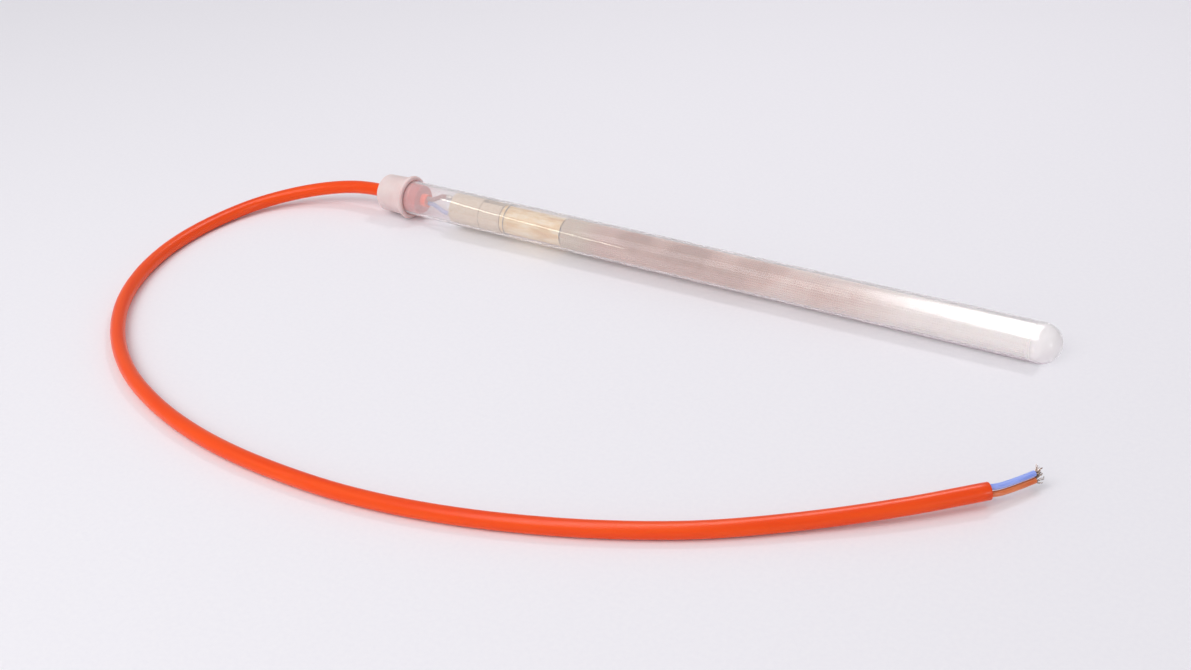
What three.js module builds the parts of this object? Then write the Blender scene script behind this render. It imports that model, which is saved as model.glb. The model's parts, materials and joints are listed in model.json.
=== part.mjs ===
// Submersible aquarium heater: a glass tube with a domed end, closed by a soft silicone end
// cap, with a two-core mains cord that ends in bare wires.
//
// Millimetres, +Z up. The heater lies along X, its cap at -X and its dome at +X. The origin is
// at floor level under the middle of the heater, without its cord. The cap's lip is wider than
// the tube, so the heater lies on the lip and on the dome, and slopes down a little to the dome.
//
// Inside the heater, positions are counted along its axis from the cap's outer end face.

import * as THREE from 'three';

// ---- Driving dimensions -------------------------------------------------------------------

// Overall
const overallLength = 372;
const seatGap = 0.2; // between pieces that touch or fit each other

// Glass tube
const tubeDiameter = 18.4;
const tubeWall = 1.2;

// End cap: a soft cup with a rolled lip round its mouth
const capLength = 18.8;
const capWall = 0.8; // beside the lip
const capTaper = 0.4; // how much the radius shrinks from the lip to the end face
const capEndRound = 2.2;
const capEndWall = 3.2;
const lipHeight = 1.4; // above the cap's wall
const lipWidth = 2.6;

// Ring that stops the cord from pulling out, and the bung behind it in the tube
const stopRingInset = 0.3; // from the tube's mouth
const stopRingWall = 1.5;
const stopRingWidth = 2.4;
const bungLength = 19.8;

// Cord
const cordDiameter = 7;
const coreDiameter = 2.4;
const corePitch = 2.7; // between the centres of the two cores in the sheath
const sheathTail = 29.5; // how far the sheath reaches past the cap's end face
const bareCoreReach = 20; // straight on from the sheath's cut end
const strandLength = 3.5;
const strandBundleDiameter = 1.5;

// Leads and crimps
const wireDiameter = 1;
const crimpDiameter = 3;
const crimpLength = 10;

// Ceramic insulators
const upperInsulatorStart = 49;
const upperInsulatorLength = 19;
const lowerInsulatorLength = 13;
const insulatorClearance = 0.15; // inside the glass
const boreCover = 1.25; // ceramic between a crimp's bore and the outside
const boreClearance = 0.35; // round what passes through a bore
const crimpShare = 0.4; // of a crimp's length that lies inside the ceramic

// Taped section with the thermal cut-out
const tapeLength = 37;
const tapeClearance = 0.7; // inside the glass, with room for the binding wire
const tapeThickness = 0.35;
const bindingWireDiameter = 0.36;
const bindingWireInset = 2.6; // from the start of the tape
const cutoutInset = 5; // from the start of the tape to the cut-out's housing
const cutoutLength = 26;
const cutoutWidth = 8;
const cutoutHeight = 5;
const cutoutWall = 0.8;
const bladeLength = 15;
const bladeWidth = 4.6;
const bladeThickness = 0.35;
const armThickness = 0.4;
const postLength = 1.8;
const contactDiameter = 2.4;
const contactHeight = 0.4;
const bladeTipMargin = 1.6; // from the contacts' centre to the end of the blade or the arm
const returnWireClearance = 0.8; // under the cut-out

// Heating element
const elementGap = 1; // between the tape and the sleeve
const sleeveClearance = 0.15; // inside the glass
const sleeveWall = 0.6;
const discInset = 1.5; // of the upper disc in the sleeve
const discThickness = 1.5;
const formerBore = 2.4;
const coilWireDiameter = 0.8;
const coilClearance = 1.9; // inside the sleeve
const coilPitch = 9;
const coilMargin = 4; // of plain former at each end of the coil
const spliceDiameter = 3.4;
const spliceLength = 5.5;
const spliceRun = 10; // of the wires between the former and the splice
const splicedWirePitch = 1.4; // between the two wires' centres at the splice
const endPadThickness = 1.5;
const domeClearance = 0.4; // between the end pad and the start of the dome

// Where the cord lies, seen from above, from the cap's outer end face: X, Y, and its height
// as a share of the height at which it leaves the cap.
const cordRoute = [
  [-0.3, 0, 1],
  [-11, -0.1, 0.97],
  [-23, -1.3, 0.87],
  [-35, -5, 0.72],
  [-47, -11.4, 0.54],
  [-58.5, -21, 0.34],
  [-68, -34, 0.17],
  [-74, -51, 0.05],
  [-76.3, -71, 0],
  [-74, -94, 0],
  [-65.5, -120, 0],
  [-49.5, -147, 0],
  [-25, -172.5, 0],
  [5, -193, 0],
  [35, -206.3, 0],
  [64, -214.8, 0],
  [94, -219.8, 0],
  [126, -221.5, 0],
  [159, -220.3, 0],
  [191, -215.4, 0],
  [226, -206, 0],
  [261, -192.6, 0],
  [293.6, -176, 0.02],
  [325.4, -154.3, 0.1],
  [354, -132, 0.26],
  [379.4, -108.6, 0.38],
];
const cordFloorGap = 0.05; // keeps the cord's facets clear of the floor

// How the bare cores bend: share of their reach, then how far left and up they have gone
const bareCoreBend = [
  [0, 0, 0],
  [0.2, 0.1, -0.25],
  [0.42, 1.1, -0.45],
  [0.65, 2.4, -0.55],
  [0.88, 3.95, -0.7],
  [1, 4.8, -0.75],
];
const coreStackAngle = (68 * Math.PI) / 180; // how far one core stands over the other

// How round things are
const roundSides = 32;
const wireSides = 6;
const cordSides = 10;

// ---- Derived places -----------------------------------------------------------------------

const tubeRadius = tubeDiameter / 2;
const boreRadius = tubeRadius - tubeWall;
const socketRadius = tubeRadius + seatGap;
const capRadius = socketRadius + capWall;
const lipRadius = capRadius + lipHeight;
const cordRadius = cordDiameter / 2;
const cordHoleRadius = cordRadius + seatGap;

const lipCentre = capLength - lipWidth / 2;
const domeCentre = overallLength - tubeRadius;
const restSlope = Math.asin((lipRadius - tubeRadius) / (domeCentre - lipCentre));

const tubeMouth = capEndWall + seatGap;
const stopRingStart = tubeMouth + stopRingInset;
const bungStart = stopRingStart + stopRingWidth + seatGap;

const insulatorRadius = boreRadius - insulatorClearance;
const crimpHoleRadius = crimpDiameter / 2 + boreClearance;
const wireOffset = insulatorRadius - boreCover - crimpHoleRadius; // from the heater's axis
const upperInsulatorEnd = upperInsulatorStart + upperInsulatorLength;
const lowerInsulatorStart = upperInsulatorEnd + seatGap;
const lowerInsulatorEnd = lowerInsulatorStart + lowerInsulatorLength;
const tapeStart = lowerInsulatorEnd + seatGap;
const tapeEnd = tapeStart + tapeLength;
const tapeRadius = boreRadius - tapeClearance;
const cutoutStart = tapeStart + cutoutInset;
const cutoutEnd = cutoutStart + cutoutLength;

const crimpStart = upperInsulatorStart - crimpLength * (1 - crimpShare);
const crimpEnd = crimpStart + crimpLength;

const sleeveStart = tapeEnd + elementGap;
const sleeveEnd = domeCentre - domeClearance - endPadThickness - seatGap;
const sleeveRadius = boreRadius - sleeveClearance;
const sleeveBore = sleeveRadius - sleeveWall;
const discStart = sleeveStart + discInset;
const formerStart = discStart + discThickness + seatGap;
const spliceEnd = sleeveEnd - seatGap;
const spliceStart = spliceEnd - spliceLength;
const formerEnd = spliceStart - spliceRun;
const coilRadius = sleeveBore - coilClearance - coilWireDiameter / 2; // to the wire's middle
const formerRadius = coilRadius - coilWireDiameter / 2 - seatGap;

// Heights inside the cut-out, from the heater's axis
const cutoutFloor = -cutoutHeight / 2 + cutoutWall;
const armBottom = cutoutFloor + seatGap;
const fixedContactBottom = armBottom + armThickness + seatGap;
const movingContactBottom = fixedContactBottom + contactHeight + seatGap;
const bladeBottom = movingContactBottom + contactHeight + seatGap;
const bladeStart = cutoutStart + seatGap + postLength + seatGap;
const contactCentre = bladeStart + bladeLength - bladeTipMargin;

// ---- Materials ----------------------------------------------------------------------------

function material(color, roughness, metalness = 0) {
  return new THREE.MeshStandardMaterial({ color, roughness, metalness });
}

const clearGlass = () => material('#dfe4ea', 0.05);
const whiteSilicone = () => material('#eadfe0', 0.45);
const orangeRubber = () => material('#ee4a22', 0.4);
const blueInsulation = () => material('#8fa8f0', 0.35);
const brownInsulation = () => material('#d2622a', 0.35);
const tinnedCopper = () => material('#b9b2ac', 0.35, 1);
const cordierite = () => material('#dccfbf', 0.8);
const steatite = () => material('#efe9e0', 0.6);
const polyimideTape = () => material('#e3b67c', 0.3);
const phenolic = () => material('#4a3a30', 0.5);
const brass = () => material('#c9a558', 0.35, 1);
const bimetal = () => material('#a9a49c', 0.3, 1);
const silver = () => material('#dcdcda', 0.25, 1);
const resistanceWire = () => material('#7b6a60', 0.4, 1);
const glassFibre = () => material('#e8dcd8', 0.85);
const mica = () => material('#cdb89a', 0.4);
const steelWire = () => material('#5b6a78', 0.35, 1);

// ---- Shape helpers ------------------------------------------------------------------------

function addPiece(parent, name, geometry, finish) {
  const mesh = new THREE.Mesh(geometry, finish);
  mesh.name = name;
  parent.add(mesh);
  return mesh;
}

// A turned piece about the X axis. The profile holds [distance along the axis, radius] points.
// It runs from the axis at -X round the outside to the axis at +X, or closes on itself the
// same way round.
function turned(profile, sides = roundSides) {
  const points = profile.map(([along, radius]) => new THREE.Vector2(radius, along));
  const geometry = new THREE.LatheGeometry(points, sides);
  geometry.rotateZ(-Math.PI / 2);
  return geometry;
}

// Points of an arc in a turned profile, with angles from the +X direction
function arcPoints(centreAlong, centreRadius, radius, fromAngle, toAngle, steps) {
  const points = [];
  for (let i = 0; i <= steps; i += 1) {
    const angle = fromAngle + ((toAngle - fromAngle) * i) / steps;
    points.push([centreAlong + radius * Math.cos(angle), centreRadius + radius * Math.sin(angle)]);
  }
  return points;
}

// A plain ring between two places on the axis and between two radii
function ring(start, end, innerRadius, outerRadius) {
  return turned([
    [start, innerRadius],
    [start, outerRadius],
    [end, outerRadius],
    [end, innerRadius],
    [start, innerRadius],
  ]);
}

function circleShape(radius, sides, centreX = 0, centreY = 0) {
  const shape = new THREE.Shape();
  for (let i = 0; i < sides; i += 1) {
    const angle = (2 * Math.PI * i) / sides;
    const x = centreX + radius * Math.cos(angle);
    const y = centreY + radius * Math.sin(angle);
    if (i === 0) shape.moveTo(x, y);
    else shape.lineTo(x, y);
  }
  shape.closePath();
  return shape;
}

// A round rod or wire along a curve
function rod(curve, diameter, steps, sides = wireSides) {
  return new THREE.ExtrudeGeometry(circleShape(diameter / 2, sides), {
    steps,
    extrudePath: curve,
    bevelEnabled: false,
  });
}

function smoothCurve(points) {
  const vectors = points.map(([x, y, z]) => new THREE.Vector3(x, y, z));
  return new THREE.CatmullRomCurve3(vectors, false, 'centripetal');
}

// A section drawn in (Y, Z) and pulled along X from one place to another
function pulled(section, start, end) {
  const geometry = new THREE.ExtrudeGeometry(section, { depth: end - start, bevelEnabled: false });
  const axes = new THREE.Matrix4().set(0, 0, 1, start, 1, 0, 0, 0, 0, 1, 0, 0, 0, 0, 0, 1);
  geometry.applyMatrix4(axes);
  return geometry;
}

function block(start, end, width, bottom, top) {
  const geometry = new THREE.BoxGeometry(end - start, width, top - bottom);
  geometry.translate((start + end) / 2, 0, (bottom + top) / 2);
  return geometry;
}

// An upright round button
function button(centre, bottom) {
  const geometry = new THREE.CylinderGeometry(
    contactDiameter / 2, contactDiameter / 2, contactHeight, 16);
  geometry.rotateX(Math.PI / 2);
  geometry.translate(centre, 0, bottom + contactHeight / 2);
  return geometry;
}

// ---- Tube, cap and seals ------------------------------------------------------------------

// An open glass tube whose far end is blown into a half ball
function glassTube() {
  const quarter = Math.PI / 2;
  return turned([
    ...arcPoints(domeCentre, 0, boreRadius, 0, quarter, 8),
    [tubeMouth, boreRadius],
    [tubeMouth, tubeRadius],
    ...arcPoints(domeCentre, 0, tubeRadius, quarter, 0, 10),
  ]);
}

// A soft cup over the tube's mouth, with a hole for the cord and a rolled lip
function endCap() {
  const endRadius = capRadius - capTaper;
  const lipStart = capLength - lipWidth;
  const lipRound = lipWidth / 2;
  return turned([
    [0, cordHoleRadius],
    ...arcPoints(capEndRound, endRadius - capEndRound, capEndRound, Math.PI, Math.PI / 2, 4),
    [lipStart, capRadius],
    ...arcPoints(lipCentre, lipRadius - lipRound, lipRound, Math.PI, 0, 8),
    [capLength, socketRadius],
    [capEndWall, socketRadius],
    [capEndWall, cordHoleRadius],
    [0, cordHoleRadius],
  ]);
}

function cordStopRing() {
  return ring(
    stopRingStart, stopRingStart + stopRingWidth, cordHoleRadius, cordHoleRadius + stopRingWall);
}

function sealingBung() {
  return ring(bungStart, bungStart + bungLength, cordHoleRadius, boreRadius - seatGap);
}

// ---- Leads, crimps and insulators ---------------------------------------------------------

// The stretch of sheath inside the heater, along its axis
function sheathInside() {
  const path = new THREE.LineCurve3(
    new THREE.Vector3(seatGap, 0, 0), new THREE.Vector3(sheathTail, 0, 0));
  return rod(path, cordDiameter, 2, cordSides);
}

// An insulated core from the sheath's cut end out to its crimp; side is 1 above, -1 below
function innerLead(side) {
  const start = sheathTail + seatGap;
  const end = crimpStart - seatGap;
  const run = end - start;
  return rod(smoothCurve([
    [start, 0, (side * corePitch) / 2],
    [start + run * 0.2, 0, (side * corePitch) / 2],
    [start + run * 0.8, 0, side * wireOffset],
    [end, 0, side * wireOffset],
  ]), coreDiameter, 8, 8);
}

function crimpSleeve(side) {
  const geometry = pulled(circleShape(crimpDiameter / 2, 12), crimpStart, crimpEnd);
  geometry.translate(0, 0, side * wireOffset);
  return geometry;
}

// A ceramic slug with a bore for each crimped wire
function upperInsulator() {
  const section = circleShape(insulatorRadius, roundSides);
  for (const side of [1, -1]) {
    section.holes.push(circleShape(crimpHoleRadius, 12, 0, side * wireOffset));
  }
  return pulled(section, upperInsulatorStart, upperInsulatorEnd);
}

// A ceramic slug with an open groove on top for the live wire and a bore for the return wire
function lowerInsulator() {
  const grooveHalf = crimpHoleRadius;
  const grooveFloor = wireOffset - grooveHalf;
  const cornerAngle = Math.asin(grooveHalf / insulatorRadius);
  const section = new THREE.Shape();
  section.moveTo(-grooveHalf, grooveFloor);
  section.lineTo(grooveHalf, grooveFloor);
  for (let i = 0; i <= roundSides; i += 1) {
    const turn = cornerAngle + ((2 * Math.PI - 2 * cornerAngle) * i) / roundSides;
    section.lineTo(insulatorRadius * Math.sin(turn), insulatorRadius * Math.cos(turn));
  }
  section.closePath();
  section.holes.push(circleShape(wireDiameter / 2 + boreClearance, 12, 0, -wireOffset));
  return pulled(section, lowerInsulatorStart, lowerInsulatorEnd);
}

// The bare wire from the live crimp to the post that holds the blade
function liveLink() {
  const end = cutoutStart - seatGap;
  return rod(smoothCurve([
    [crimpEnd + seatGap, 0, wireOffset],
    [(crimpEnd + lowerInsulatorEnd) / 2, 0, wireOffset],
    [lowerInsulatorEnd, 0, wireOffset],
    [end - 2, 0, bladeBottom + 1],
    [end, 0, bladeBottom],
  ]), wireDiameter, 16);
}

// ---- Taped thermal cut-out ----------------------------------------------------------------

function tapeWrap() {
  return ring(tapeStart, tapeEnd, tapeRadius - tapeThickness, tapeRadius);
}

// One turn of binding wire round the tape
function bindingWire() {
  const wireRadius = bindingWireDiameter / 2;
  const turnRadius = tapeRadius + seatGap + wireRadius;
  return turned(arcPoints(
    tapeStart + bindingWireInset, turnRadius, wireRadius, Math.PI, -Math.PI, wireSides));
}

// An open trough that holds the contacts
function cutoutHousing() {
  const half = cutoutWidth / 2;
  const bottom = -cutoutHeight / 2;
  const top = cutoutHeight / 2;
  const section = new THREE.Shape();
  section.moveTo(-half, bottom);
  section.lineTo(half, bottom);
  section.lineTo(half, top);
  section.lineTo(half - cutoutWall, top);
  section.lineTo(half - cutoutWall, cutoutFloor);
  section.lineTo(-half + cutoutWall, cutoutFloor);
  section.lineTo(-half + cutoutWall, top);
  section.lineTo(-half, top);
  section.closePath();
  return pulled(section, cutoutStart, cutoutEnd);
}

function cutoutLid() {
  const bottom = cutoutHeight / 2 + seatGap;
  return block(cutoutStart, cutoutEnd, cutoutWidth, bottom, bottom + cutoutWall);
}

// The post that carries the blade's root
function bladePost() {
  const start = cutoutStart + seatGap;
  return block(start, start + postLength, bladeWidth, armBottom, bladeBottom + bladeThickness);
}

function fixedArm() {
  return block(
    contactCentre - bladeTipMargin, cutoutEnd - seatGap, bladeWidth, armBottom,
    armBottom + armThickness);
}

function bimetalBlade() {
  return block(
    bladeStart, bladeStart + bladeLength, bladeWidth, bladeBottom, bladeBottom + bladeThickness);
}

// ---- Heating element ----------------------------------------------------------------------

function fibreSleeve() {
  return ring(sleeveStart, sleeveEnd, sleeveBore, sleeveRadius);
}

// A mica disc that centres the former, with a hole for the return wire and one for the coil
function mountingDisc() {
  const section = circleShape(sleeveBore - seatGap, roundSides);
  section.holes.push(circleShape(wireDiameter / 2 + boreClearance, 10));
  section.holes.push(circleShape(coilWireDiameter / 2 + boreClearance, 10, 0, -coilRadius));
  return pulled(section, discStart, discStart + discThickness);
}

function coilFormer() {
  return ring(formerStart, formerEnd, formerBore / 2, formerRadius);
}

// The resistance wire: in from the cut-out, round the former, and in to the splice
function heatingCoil() {
  const coilStart = formerStart + coilMargin;
  const coilEnd = formerEnd - coilMargin;
  const turns = Math.round((coilEnd - coilStart) / coilPitch);
  const stepsPerTurn = 12;
  const leadStart = cutoutEnd + seatGap;
  const points = [
    [leadStart, 0, armBottom],
    [leadStart + (discStart - leadStart) * 0.5, 0, (armBottom - coilRadius) / 2],
    [discStart, 0, -coilRadius],
    [formerStart, 0, -coilRadius],
  ];
  for (let i = 0; i <= turns * stepsPerTurn; i += 1) {
    const angle = (2 * Math.PI * i) / stepsPerTurn;
    const along = coilStart + ((coilEnd - coilStart) * i) / (turns * stepsPerTurn);
    points.push([along, coilRadius * Math.sin(angle), -coilRadius * Math.cos(angle)]);
  }
  points.push([formerEnd + 1, 0, -coilRadius]);
  points.push([formerEnd + spliceRun * 0.7, 0, -splicedWirePitch / 2]);
  points.push([spliceStart - seatGap, 0, -splicedWirePitch / 2]);
  const vectors = points.map(([x, y, z]) => new THREE.Vector3(x, y, z));
  const path = new THREE.CatmullRomCurve3(vectors, false, 'centripetal');
  path.arcLengthDivisions = vectors.length * 8;
  return rod(path, coilWireDiameter, turns * stepsPerTurn + 16);
}

// The wire from the neutral crimp back past the cut-out and through the former to the splice
function returnWire() {
  const underCutout = -(cutoutHeight / 2 + returnWireClearance + wireDiameter / 2);
  const dipEnd = discStart - 1;
  return rod(smoothCurve([
    [crimpEnd + seatGap, 0, -wireOffset],
    [lowerInsulatorEnd, 0, -wireOffset],
    [cutoutStart, 0, underCutout],
    [cutoutEnd - 4, 0, underCutout],
    [cutoutEnd, 0.8, underCutout],
    [(cutoutEnd + dipEnd) / 2, 2.4, underCutout / 2],
    [dipEnd, 0, 0],
    [formerStart + 4, 0, 0],
    [formerEnd - 4, 0, 0],
    [formerEnd, 0, 0],
    [formerEnd + spliceRun * 0.7, 0, splicedWirePitch / 2],
    [spliceStart - seatGap, 0, splicedWirePitch / 2],
  ]), wireDiameter, 60);
}

function endSplice() {
  return pulled(circleShape(spliceDiameter / 2, 12), spliceStart, spliceEnd);
}

function endPad() {
  const start = sleeveEnd + seatGap;
  return pulled(
    circleShape(boreRadius - seatGap, roundSides), start, start + endPadThickness);
}

// ---- Cord outside the heater --------------------------------------------------------------

function cordCurve(exitHeight) {
  const restHeight = cordRadius + cordFloorGap;
  return smoothCurve(cordRoute.map(
    ([x, y, lift]) => [x, y, restHeight + lift * (exitHeight - restHeight)]));
}

// A bare core past the sheath's cut end, in a frame whose +X runs on from the sheath and
// whose origin is the middle of that cut. side is 1 for the core on top, -1 for the one below.
function bareCoreRoute(side) {
  const across = ((side * corePitch) / 2) * Math.cos(coreStackAngle);
  const above = ((side * corePitch) / 2) * Math.sin(coreStackAngle);
  return bareCoreBend.map(([share, left, up]) => [
    seatGap + share * (bareCoreReach - seatGap), across + left, above + up,
  ]);
}

function strandBundle(curve) {
  const tip = curve.getPoint(1);
  const heading = curve.getTangent(1);
  const start = tip.clone().addScaledVector(heading, seatGap);
  const end = tip.clone().addScaledVector(heading, strandLength);
  return rod(new THREE.LineCurve3(start, end), strandBundleDiameter, 1, 8);
}

// ---- Assembly -----------------------------------------------------------------------------

const model = new THREE.Group();

const heater = new THREE.Group();
heater.rotation.y = restSlope;
heater.position.x = -(overallLength / 2) * Math.cos(restSlope);
heater.position.z = tubeRadius + domeCentre * Math.sin(restSlope);
model.add(heater);

addPiece(heater, 'glass_tube', glassTube(), clearGlass());
addPiece(heater, 'end_cap', endCap(), whiteSilicone());
addPiece(heater, 'cord_stop_ring', cordStopRing(), brass());
addPiece(heater, 'sealing_bung', sealingBung(), whiteSilicone());

addPiece(heater, 'sheath_inside', sheathInside(), orangeRubber());
addPiece(heater, 'live_lead', innerLead(1), brownInsulation());
addPiece(heater, 'neutral_lead', innerLead(-1), blueInsulation());
addPiece(heater, 'live_crimp', crimpSleeve(1), tinnedCopper());
addPiece(heater, 'neutral_crimp', crimpSleeve(-1), tinnedCopper());
addPiece(heater, 'upper_insulator', upperInsulator(), cordierite());
addPiece(heater, 'lower_insulator', lowerInsulator(), cordierite());
addPiece(heater, 'live_link', liveLink(), tinnedCopper());

addPiece(heater, 'tape_wrap', tapeWrap(), polyimideTape());
addPiece(heater, 'binding_wire', bindingWire(), steelWire());
addPiece(heater, 'cutout_housing', cutoutHousing(), phenolic());
addPiece(heater, 'cutout_lid', cutoutLid(), phenolic());
addPiece(heater, 'blade_post', bladePost(), brass());
addPiece(heater, 'fixed_arm', fixedArm(), brass());
addPiece(heater, 'fixed_contact', button(contactCentre, fixedContactBottom), silver());
addPiece(heater, 'bimetal_blade', bimetalBlade(), bimetal());
addPiece(heater, 'moving_contact', button(contactCentre, movingContactBottom), silver());

addPiece(heater, 'mounting_disc', mountingDisc(), mica());
addPiece(heater, 'coil_former', coilFormer(), steatite());
addPiece(heater, 'heating_coil', heatingCoil(), resistanceWire());
addPiece(heater, 'return_wire', returnWire(), tinnedCopper());
addPiece(heater, 'end_splice', endSplice(), tinnedCopper());
addPiece(heater, 'fibre_sleeve', fibreSleeve(), glassFibre());
addPiece(heater, 'end_pad', endPad(), glassFibre());

// The cord starts at the cap's outer end face, wherever that lies
const cord = new THREE.Group();
cord.position.x = heater.position.x;
model.add(cord);

const cordPath = cordCurve(heater.position.z);
addPiece(cord, 'power_cord', rod(cordPath, cordDiameter, 44, cordSides), orangeRubber());

const cordEnd = new THREE.Group();
cordEnd.position.copy(cordPath.getPoint(1));
const heading = cordPath.getTangent(1);
cordEnd.rotation.z = Math.atan2(heading.y, heading.x);
cord.add(cordEnd);

const neutralCore = smoothCurve(bareCoreRoute(1));
const liveCore = smoothCurve(bareCoreRoute(-1));
addPiece(cordEnd, 'neutral_core', rod(neutralCore, coreDiameter, 6, 8), blueInsulation());
addPiece(cordEnd, 'live_core', rod(liveCore, coreDiameter, 6, 8), brownInsulation());
addPiece(cordEnd, 'neutral_strands', strandBundle(neutralCore), tinnedCopper());
addPiece(cordEnd, 'live_strands', strandBundle(liveCore), tinnedCopper());

export default model;
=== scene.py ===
"""Submersible aquarium heater: glass tube, silicone end cap, orange cord with bare ends.

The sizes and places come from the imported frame. The heater's own pieces are made in the
heater's frame, whose X runs along the tube from the cap's outer end face, and are then
turned into the row's frame.
"""

import json
import math

import bmesh
import bpy
import numpy as np
from mathutils import Matrix, Vector, noise


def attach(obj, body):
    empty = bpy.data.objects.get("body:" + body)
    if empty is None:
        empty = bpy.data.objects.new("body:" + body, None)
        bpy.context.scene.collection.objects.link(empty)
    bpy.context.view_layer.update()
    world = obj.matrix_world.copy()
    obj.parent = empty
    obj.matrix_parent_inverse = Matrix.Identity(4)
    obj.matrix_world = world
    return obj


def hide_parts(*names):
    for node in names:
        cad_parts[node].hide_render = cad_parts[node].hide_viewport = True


bl_info = {
    "name": "Aquarium Heater",
    "version": (1, 0, 0),
    "blender": (4, 5, 0),
    "location": "3D View > Sidebar > Heater",
    "description": "Builds the looks of a submersible aquarium heater around its frame",
    "category": "Add Mesh",
}

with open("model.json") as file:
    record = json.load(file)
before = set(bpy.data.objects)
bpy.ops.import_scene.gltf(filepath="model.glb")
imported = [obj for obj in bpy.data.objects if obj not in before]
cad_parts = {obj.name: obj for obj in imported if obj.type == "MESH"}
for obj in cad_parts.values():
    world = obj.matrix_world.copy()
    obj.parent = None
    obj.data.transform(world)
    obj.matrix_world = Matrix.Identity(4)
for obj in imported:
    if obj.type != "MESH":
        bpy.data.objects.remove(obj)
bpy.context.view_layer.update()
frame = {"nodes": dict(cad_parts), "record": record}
MM = 0.001

# The mount gives the heater's slope. Its point lies on the cap's outer end face, straight
# above the axis.
MOUNT = frame["record"]["mounts"][0]
MOUNT_RADIUS = 5.6 * MM
AXIS = -Vector(MOUNT["axis"]).normalized()
SIDE = Vector((0, 1, 0))
UP = AXIS.cross(SIDE)
END_FACE = Vector(MOUNT["pos_m"]) - UP * MOUNT_RADIUS
HEATER = Matrix.Translation(END_FACE) @ Matrix((AXIS, SIDE, UP)).transposed().to_4x4()


# ---- Colour, nodes and meshes ---------------------------------------------------------


def to_linear(hex_colour):
    """An sRGB hex colour as linear red, green, blue and alpha 1."""
    parts = [int(hex_colour[i : i + 2], 16) / 255 for i in (1, 3, 5)]
    return tuple(c / 12.92 if c <= 0.04045 else ((c + 0.055) / 1.055) ** 2.4 for c in parts) + (1.0,)


def add_node(tree, kind, settings=None, inputs=None):
    """Adds a node, sets its properties, and sets or links its inputs."""
    node = tree.nodes.new(kind)
    for name, value in (settings or {}).items():
        setattr(node, name, value)
    for name, value in (inputs or {}).items():
        if isinstance(value, bpy.types.NodeSocket):
            tree.links.new(value, node.inputs[name])
        else:
            node.inputs[name].default_value = value
    return node


def node_makers(tree):
    """Short makers for one tree: node() gives a new node's first output, maths() a Math node's."""

    def node(kind, inputs=None, settings=None):
        return add_node(tree, kind, settings, inputs).outputs[0]

    def maths(operation, a, b=0.0, c=0.0):
        return node("ShaderNodeMath", {0: a, 1: b, 2: c}, {"operation": operation})

    return node, maths


def heater_box(node):
    """Lowest and highest corner of a CAD node in the heater's frame."""
    back = HEATER.inverted()
    corners = np.array([back @ v.co for v in frame["nodes"][node].data.vertices])
    return corners.min(0).tolist(), corners.max(0).tolist()


def heater_span(node):
    """Where a CAD node starts and ends along the heater's axis, and its outer radius."""
    low, high = heater_box(node)
    return low[0], high[0], high[1]


def arc(centre, radius, start, end, steps):
    """Points of an arc in an (along, radius) profile, with angles in degrees from +X."""
    turns = [math.radians(start + (end - start) * i / steps) for i in range(steps + 1)]
    return [(centre[0] + radius * math.cos(a), centre[1] + radius * math.sin(a)) for a in turns]


def full_turn(sides):
    """Angles of a full turn in equal steps, with the first point's angle again at the end."""
    return [2 * math.pi * j / sides for j in range(sides + 1)]


def finished_mesh(build):
    """The mesh of a bmesh, with its normals outward."""
    bmesh.ops.recalc_face_normals(build, faces=build.faces)
    mesh = bpy.data.meshes.new("mesh")
    build.to_mesh(mesh)
    build.free()
    return mesh


def grid_mesh(rows, uv_rows, closed_rows=False):
    """A mesh of rings of points, joined ring to ring. A ring of one point closes an end.

    uv_rows holds (u, v) for every point and one more at each ring's seam.
    """
    build = bmesh.new()
    uv_layer = build.loops.layers.uv.new("UVMap")
    rings = [[build.verts.new(co) for co in row] for row in rows]
    count = len(rings)
    for i in range(count if closed_rows else count - 1):
        near, far = rings[i], rings[(i + 1) % count]
        uv_near, uv_far = uv_rows[i], uv_rows[i + 1]
        sides = max(len(near), len(far))
        for j in range(sides):
            k = (j + 1) % sides
            near_side = [(near[j], uv_near[j]), (near[k], uv_near[j + 1])] if len(near) > 1 else []
            far_side = [(far[k], uv_far[j + 1]), (far[j], uv_far[j])] if len(far) > 1 else []
            corners = (near_side or [(near[0], uv_near[0])]) + (far_side or [(far[0], uv_far[0])])
            face = build.faces.new([corner[0] for corner in corners])
            for loop, corner in zip(face.loops, corners):
                loop[uv_layer].uv = corner[1]
    return finished_mesh(build)


def turned(profile, sides, closed, wobble=None):
    """A turned piece in the heater's frame, from (along, radius) points.

    A radius of 0 closes an end. wobble(along, angle) adds to the radius. The UV map holds
    metres round and metres along the profile.
    """
    length = 0.0
    rows, uvs = [], []
    points = list(profile) + ([profile[0]] if closed else [])
    widest = max(radius for _, radius in profile)
    turn = full_turn(sides)
    for i, (along, radius) in enumerate(points):
        if i:
            length += math.dist(points[i - 1], points[i])
        if radius < 1e-9:
            rows.append([(along, 0, 0)])
            uvs.append([(0.0, length)])
            continue
        radii = [radius + (wobble(along, a) if wobble else 0) for a in turn[:-1]]
        rows.append([(along, r * math.cos(a), r * math.sin(a)) for r, a in zip(radii, turn)])
        uvs.append([(a * widest, length) for a in turn])
    if closed:
        rows.pop()
    return grid_mesh(rows, uvs, closed_rows=closed)


def between(a, b, start, end, t):
    """The value at t on the line that is a at start and b at end."""
    return (end - t) / (end - start) * a + (t - start) / (end - start) * b


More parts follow.
